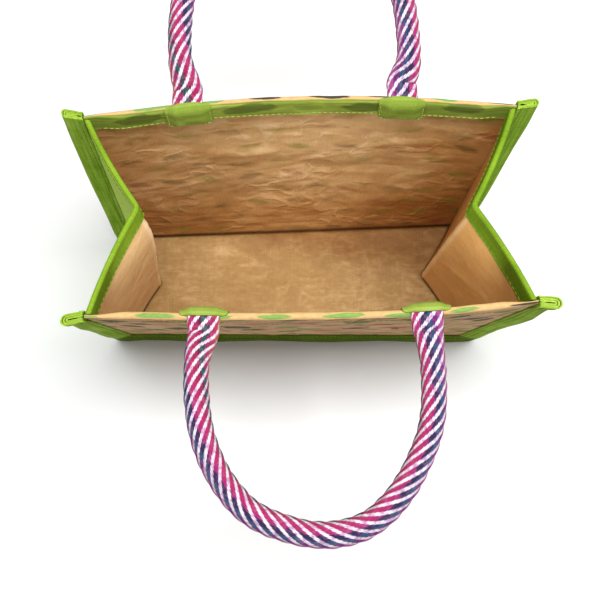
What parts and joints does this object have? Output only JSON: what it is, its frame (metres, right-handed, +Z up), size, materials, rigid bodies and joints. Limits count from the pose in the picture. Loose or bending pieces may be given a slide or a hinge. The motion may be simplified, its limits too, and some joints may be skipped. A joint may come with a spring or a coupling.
{
  "type": "burlap bag",
  "caption": "Open jute carrier bag with flared mouth, folded side gussets, bound outside seams and padded rope handles splayed outwards.",
  "frame": {"origin": "on the table, under the middle of the whole bag with its handles", "axes": "+X along the panels to the right, +Y out through the back panel, +Z up; the front panel and its handle lie towards -Y"},
  "size_m": [0.3531, 0.4583, 0.2643],
  "materials": {
    "jute": "natural laminated jute, printed outside",
    "green_jute": "dyed laminated jute, matt",
    "handle_weave": "padded handle wound with coloured cotton"
  },
  "bodies": {
    "root": {"front_panel": "jute", "back_panel": "jute", "base_panel": "jute", "gusset_left": "green_jute", "gusset_right": "green_jute", "front_binding": "green_jute", "back_binding": "green_jute", "patch_front_left": "green_jute", "patch_front_right": "green_jute", "patch_back_left": "green_jute", "patch_back_right": "green_jute", "handle_front": "handle_weave", "handle_back": "handle_weave"}
  },
  "joints": []
}
